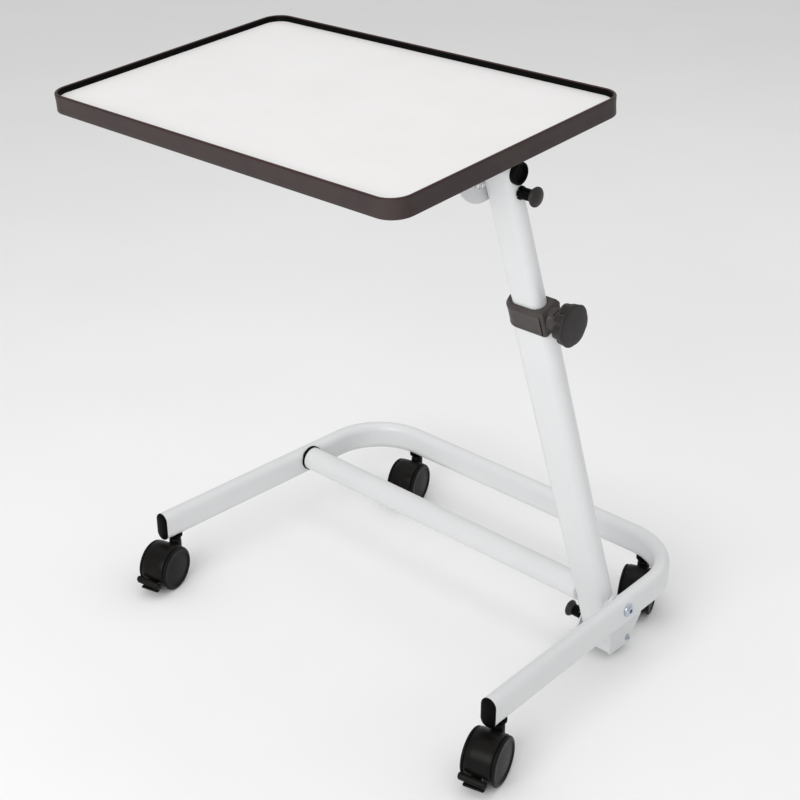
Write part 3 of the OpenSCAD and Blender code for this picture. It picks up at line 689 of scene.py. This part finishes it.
def leg_end(side):
    """Middle of a leg's open end, local Z pointing out of the tube and Y up."""
    low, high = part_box("end_cap_" + side)
    splay = radians(LEG_SPLAY) * (1 if side == "right" else -1)
    out = Vector((sin(splay), -cos(splay), 0))
    root = box_middle("end_cap_" + side)
    root.x += out.x * ((high.y - low.y) / 2 - CAP_LENGTH * MM)
    root.y = low.y - out.y * CAP_LENGTH * MM
    return basis(root, Vector((0, 0, 1)).cross(out), out)


def build_end_cap(side):
    """A domed rim as wide as the tube, and the insert pushed inside."""
    rim = loft([cap_ring(inwards, z) for inwards, z in CAP_DOME])
    insert = loft([cap_ring(CAP_WALL, z) for z in (-10, 0)])
    cap, node = merge(rim, insert), "end_cap_" + side
    piece("leg_plug_" + side, cap, [BLACK], "base", [node], 40, leg_end(side))


build_end_cap("right")
build_end_cap("left")


# ---- clamp ----

# Heights up the post from the fold axis
COLLAR_S = 518
KNOB_S = 535
COLLAR_H = 35
# How far the band reaches from the middle of the post, and its radius towards the knob
COLLAR_LEFT = LOW_W / 2 + 2.4
COLLAR_RIGHT = LOW_W / 2 + 3.4
COLLAR_T = LOW_T + 8
COLLAR_CORNER = 5.0
KNOB_LOBES = 7
KNOB_TURN = 12


def collar_outline(left, right, t, d, corner):
    """Outline of the band: a half-round end away from the knob, squarer corners towards it."""
    end = t / 2
    points = arc_points(-left + end, 0, end - d, 90, 270, 28)
    points += arc_points(right - corner, -end + corner, corner - d, 270, 360, 14)
    points += arc_points(right - corner, end - corner, corner - d, 0, 90, 14)
    return points


def tube_outline(w, t):
    """Flat oval with as many points as the band's outline."""
    return collar_outline(w / 2, w / 2, t, 0, t / 2)


def collar_band():
    """Outside from the foot to the stepped mouth, then down the inside round the two tubes."""
    rows = [(2.2, 0.0), (0.7, 0.4), (0.0, 1.4), (0.0, 3.6), (0.35, 4.4), (0.4, 8), (0.45, 17)]
    rows += [(0.4, COLLAR_H - 8.6), (0.3, COLLAR_H - 7.8), (0.0, COLLAR_H - 7.0), (0.1, COLLAR_H - 5.6)]
    rows += [(0.8, COLLAR_H - 4.4), (2.2, COLLAR_H - 2.4), (3.0, COLLAR_H - 0.9), (3.9, COLLAR_H - 0.1)]
    rings = []
    for d, z in rows:
        rings.append(ring_at(collar_outline(COLLAR_LEFT, COLLAR_RIGHT, COLLAR_T, d, COLLAR_CORNER), z))
    mouth = [(3.4, COLLAR_H), (1.4, COLLAR_H - 0.3), (1.0, COLLAR_H - 1.2), (1.0, COLLAR_H - 3)]
    for grow, z in mouth:
        rings.append(ring_at(tube_outline(UP_W + grow, UP_T + grow), z))
    for z in (COLLAR_H - 3, 0):
        rings.append(ring_at(tube_outline(LOW_W + 0.1, LOW_T + 0.1), z))
    return loft(rings, closed=True)


def collar_boss():
    """Round socket that the knob's screw runs in."""
    flat = LOW_W / 2
    reach = flat + 16
    profile = [(0, flat + 2), (15.0, flat + 2), (14.4, flat + 4), (13.4, flat + 6.4), (13.0, flat + 9)]
    profile += [(13.0, reach - 1.0), (12.3, reach), (8.2, reach), (7.8, reach - 0.6)]
    profile += [(7.8, reach - 6), (0, reach - 6)]
    boss = lathe(profile, 48)
    boss.transform(Matrix.Translation((0, 0, KNOB_S - COLLAR_S)) @ TO_X)
    return boss


def collar_lug():
    """Raised clip lug above the boss, which closes the slit in the band."""
    flat = LOW_W / 2
    outline = fillet_corners([(flat + 1, -8), (flat + 10.5, -7), (flat + 10.5, 7), (flat + 1, 8)], 2.4, 5)
    return prism(outline, KNOB_S - COLLAR_S - 1, COLLAR_H - 3.5, 1.4, 4)


def slit_shade_strip():
    """Black strip down the flat face, at the corner by the boss: painted shade where the slit is."""
    middle = COLLAR_RIGHT - COLLAR_CORNER - 0.4
    left, right = middle - 0.8, middle + 0.8
    face = -COLLAR_T / 2
    outer, inner = face - 0.12, face + 1.5
    outline = fillet_corners([(left, outer), (right, outer), (right, inner), (left, inner)], 0.3, 2)
    return prism(outline, 1.2, COLLAR_H - 4.6, 0.1, 1)


def build_clamp():
    place = post_place(COLLAR_S)
    collar = merge(collar_band(), collar_boss(), collar_lug())
    piece("clamp_band", collar, [CLAMP_PLASTIC], "post", ["clamp_collar"], 38, place)
    # The black strip in the slit is painted shade.
    piece("clamp_slit_shade", slit_shade_strip(), [BLACK], "post", (), 40, place)


def knob_outline(radius, depth):
    """Round outline with narrow finger grooves."""
    steps = 168
    made = []
    for i in range(steps):
        a = 2 * pi * i / steps
        r = radius - depth * (0.5 + 0.5 * cos(KNOB_LOBES * a)) ** 2.2
        made.append((r * cos(a), r * sin(a)))
    return made


def build_knob():
    """Lobed hand wheel with a slightly domed face."""
    # Radius, groove depth and height of each ring, from the hub to the face
    rows = [
        (11.5, 0.0, 0.0), (12.0, 0.0, 0.4), (13.5, 0.2, 0.9), (20.0, 2.0, 1.2), (23.6, 4.4, 1.7),
        (25.2, 5.6, 2.8), (25.9, 6.0, 4.6), (26.3, 6.0, 8.0), (26.7, 5.4, 11.0), (27.0, 4.0, 13.2),
        (27.3, 2.4, 15.0), (27.45, 1.3, 16.4), (27.3, 0.9, 17.3), (26.7, 0.7, 18.0), (25.6, 0.6, 18.5),
        (23.5, 0.4, 18.8), (16.0, 0.2, 19.1), (8.0, 0.1, 19.22), (2.0, 0.0, 19.25),
    ]
    bm = loft([ring_at(knob_outline(r, d), z) for r, d, z in rows])
    origin = CLAMP.copy()
    origin.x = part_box("clamp_knob")[0].x
    place = basis(origin, POST_UP, (1, 0, 0)) @ Matrix.Rotation(radians(KNOB_TURN), 4, "Z")
    piece("clamp_wheel", bm, [KNOB_PLASTIC], "clamp", ["clamp_knob"], 50, place)


build_clamp()
build_knob()


# ---- pull pins ----


def pin_neck(neck_r):
    """Stepped sleeve that stands on the tube or plate."""
    profile = [(6.6, -0.6), (neck_r + 1.2, 0.0), (neck_r + 1.2, 1.6), (neck_r + 0.9, 2.1)]
    profile += [(neck_r + 0.1, 2.4), (neck_r, PIN_SLEEVE - 1), (neck_r - 0.4, PIN_SLEEVE - 0.2)]
    profile += [(3.4, PIN_SLEEVE), (3.2, PIN_SLEEVE - 1), (3.2, -0.6)]
    return lathe(profile, 40)


def pin_button(neck_r, head_r):
    """Mushroom knob, from its neck to its domed face."""
    base = PIN_SLEEVE + 0.3
    profile = [(3.05, base), (neck_r - 0.7, base), (neck_r - 0.2, base + 0.5), (neck_r + 1.6, base + 2.6)]
    profile += [(0.88 * head_r, base + 4.2), (0.97 * head_r, base + 5.5), (head_r, base + 6.9)]
    profile += [(0.985 * head_r, base + 8.0), (0.92 * head_r, base + 8.9), (0.78 * head_r, base + 9.7)]
    profile += [(0.54 * head_r, base + 10.6), (0.28 * head_r, base + 11.15), (0, base + 11.3)]
    return lathe(profile, 56)


def build_pull_pin(name, body, holder, node, sign, neck_r, head_r):
    """Pull pin along X; its sleeve and nut stand on the tube or plate of the holder."""
    root = box_middle(node + "_knob")
    root.x = box_end(node + "_sleeve", sign).x - sign * PIN_SLEEVE * MM
    place = along(root, (sign, 0, 0), POST_UP)
    neck, button = pin_neck(neck_r), pin_button(neck_r, head_r)
    nut = prism(fillet_corners(polygon(neck_r + 1.4, 6), 0.6, 2), 0.0, 1.7, 0.35, 2)
    piece(name + "_neck", neck, [BLACK], holder, [node + "_sleeve"], 40, place)
    piece(name + "_nut", nut, [ZINC], holder, (), 40, place)
    piece(name + "_button", button, [KNOB_PLASTIC], body, [node + "_knob"], 40, place)


build_pull_pin("tilt_pull", "tilt_pin", "upper_post", "tilt_pin", 1, 7.0, 12.0)
build_pull_pin("lock_pull", "lock_pin", "base", "lock_pin", -1, 8.6, 12.6)


# ---- arm caps ----


def build_arm_cap(side, sign, stand, length):
    """Cap whose flange starts stand millimetres before the end of the cap's solid, and is length long."""
    node = "arm_cap_" + side
    root = box_end(node, sign)
    root.x -= sign * stand * MM
    profile = [(11.2, -10), (11.2, 0), (12.6, 0), (13.1, 0.3), (13.3, 1.0), (13.4, length - 1.4)]
    profile += [(13.1, length - 0.5), (12.6, length), (11.3, length), (10.7, length - 0.4)]
    profile += [(10.4, length - 3.6), (9.8, length - 4.0), (6.0, length - 3.7), (0, length - 3.6)]
    place = along(root, (sign, 0, 0), POST_UP)
    piece("arm_end_" + side, lathe(profile, 56), [BLACK], "upper_post", [node], 40, place)


build_arm_cap("right", 1, 10.5, 7.0)
build_arm_cap("left", -1, 8.5, 8.5)


# ---- weld that closes the round bar against the post ----


def build_bar_weld():
    profile = [(0, -1.2), (17.0, -1.2), (17.4, -1.0), (18.9, -1.6), (19.4, -0.9), (19.3, 0.1), (18.2, 0.9)]
    profile += [(16, 1.1), (0, 1.1)]
    place = along(box_end("round_bar", 1), (1, 0, 0), POST_UP)
    piece("bar_weld", lathe(profile, 64), [PAINT], "post", (), 60, place)


build_bar_weld()


# ---- gusset that closes the shoe between its web and its outboard plate ----

# The outline is in world X and Z; the faces lie at these distances towards -Y
GUSSET_OUTLINE = [(280, 29.5), (298.9, 29.5), (298.9, 44), (292, 44)]
GUSSET_FRONT, GUSSET_BACK = 142.5, 140


def build_gusset():
    bm = prism(GUSSET_OUTLINE, -GUSSET_FRONT, -GUSSET_BACK, 0.3)
    place = basis((0, 0, 0), (1, 0, 0), (0, -1, 0))
    piece("shoe_gusset", bm, [PAINT], "base", (), 35, place)


build_gusset()


# ---- bolt heads, over the plain ends of the solids ----

HEAD_SIDES = 48
# Radius and height of the head, and radius of its socket
PIVOT_HEAD = (9.7, 5.15, 3.7)
TIE_HEAD = (4.8, 2.6, 2.2)


def head_mesh(head_r, head_h, socket_r):
    """Domed button head with a hexagon socket, whose floor and walls take the second material, black, as painted
    shade.
    """
    rings = [ring_at(polygon(0.92 * head_r, HEAD_SIDES), 0)]
    for i in range(9):
        a = radians(90 * i / 9)
        r = head_r * cos(a) ** 0.9
        if r > socket_r + 0.5:
            rings.append(ring_at(polygon(r, HEAD_SIDES), 0.25 * head_h + 0.75 * head_h * sin(a)))
    hexagon = []
    for x, y in polygon(socket_r * cos(pi / 6), HEAD_SIDES):
        stretch = 1 / cos(atan2(y, x) % (pi / 3) - pi / 6)
        hexagon.append((x * stretch, y * stretch))
    well = [(1.1, head_h), (1.0, head_h - 0.15), (1.0, 0.55 * head_h - 1), (0.02, 0.5 * head_h - 1.6)]
    for scale, z in well:
        rings.append([(scale * x, scale * y, z) for x, y in hexagon])
    bm = loft(rings)
    for face in bm.faces:
        middle = face.calc_center_median()
        # Faces down in the socket are black: painted shade in the recess.
        painted_shade_face = middle.z < 0.6 * head_h and middle.xy.length < socket_r + 0.35
        face.material_index = 1 if painted_shade_face else 0
    return bm


def build_bolt_head(name, node, sign, head_r, head_h, socket_r):
    root = box_end(node, sign)
    root.x -= sign * head_h * MM
    place = along(root, (sign, 0, 0), (0, 1, 0))
    head = head_mesh(head_r, head_h, socket_r)
    # The black second look is the painted shade in the socket.
    piece(name, head, [ZINC, BLACK], "base", (), 35, place)


build_bolt_head("pivot_head_right", "pivot_bolt_right", 1, *PIVOT_HEAD)
build_bolt_head("pivot_head_left", "pivot_bolt_left", -1, *PIVOT_HEAD)
build_bolt_head("tie_head_right", "shoe_tie_screw", 1, *TIE_HEAD)
build_bolt_head("tie_head_left", "shoe_tie_screw", -1, *TIE_HEAD)


# ---- stage ----

# Metres
FLOOR_HALF = 9
MIDDLE = (0.0, 0.0, 0.45)
CAMERA_AT = (1.2849, -1.3688, 1.3473)
# Degrees
CAMERA_TURN = (62.68, 0.0, 42.9)
# Millimetres, for a full-frame sensor
CAMERA_LENS = 67.31
SENSOR_WIDTH = 36
WORLD_STRENGTH = 0.625


def floor_material():
    made, tree, shader = material("studio_floor")
    where = coordinates(tree)
    soft = noise(tree, where, 3, 2)
    tone = ramp(tree, soft, [(0.3, (0.925, 0.925, 0.927)), (0.7, (0.94, 0.94, 0.94))])
    tree.links.new(tone, shader.inputs["Base Color"])
    shader.inputs["Roughness"].default_value = 0.9
    shader.inputs["Specular IOR Level"].default_value = 0.1
    return made


def build_floor():
    bm = bmesh.new()
    bmesh.ops.create_grid(bm, x_segments=8, y_segments=8, size=FLOOR_HALF)
    mesh = bpy.data.meshes.new("floor")
    bm.to_mesh(mesh)
    bm.free()
    mesh.materials.append(floor_material())
    show("floor", mesh)


build_floor()


def area_light(name, place, size, watts, colour=(1, 1, 1)):
    """Soft rectangular light that looks at the middle of the table."""
    data = bpy.data.lights.new(name, "AREA")
    data.shape = "RECTANGLE"
    data.size, data.size_y = size
    data.energy = watts
    data.color = colour
    light = show(name, data)
    light.location = place
    light.rotation_euler = (Vector(MIDDLE) - Vector(place)).to_track_quat("-Z", "Y").to_euler()


area_light("key", place=(0.7, -2.8, 1.9), size=(2.2, 1.5), watts=50, colour=(1.0, 0.997, 0.99))
area_light("top", place=(-0.3, 0.2, 3.0), size=(2.6, 2.0), watts=13)
area_light("back", place=(0.4, 2.6, 2.4), size=(2.4, 1.4), watts=8)


def build_world():
    world = bpy.data.worlds.new("studio")
    world.use_nodes = True
    background = world.node_tree.nodes["Background"]
    background.inputs["Color"].default_value = (1.0, 1.0, 1.0, 1)
    background.inputs["Strength"].default_value = WORLD_STRENGTH
    bpy.context.scene.world = world


build_world()


def build_camera():
    data = bpy.data.cameras.new("camera")
    data.lens = CAMERA_LENS
    data.sensor_width = SENSOR_WIDTH
    camera = show("camera", data)
    camera.location = CAMERA_AT
    camera.rotation_euler = [radians(a) for a in CAMERA_TURN]
    bpy.context.scene.camera = camera


build_camera()
bpy.context.scene.view_settings.view_transform = "Standard"
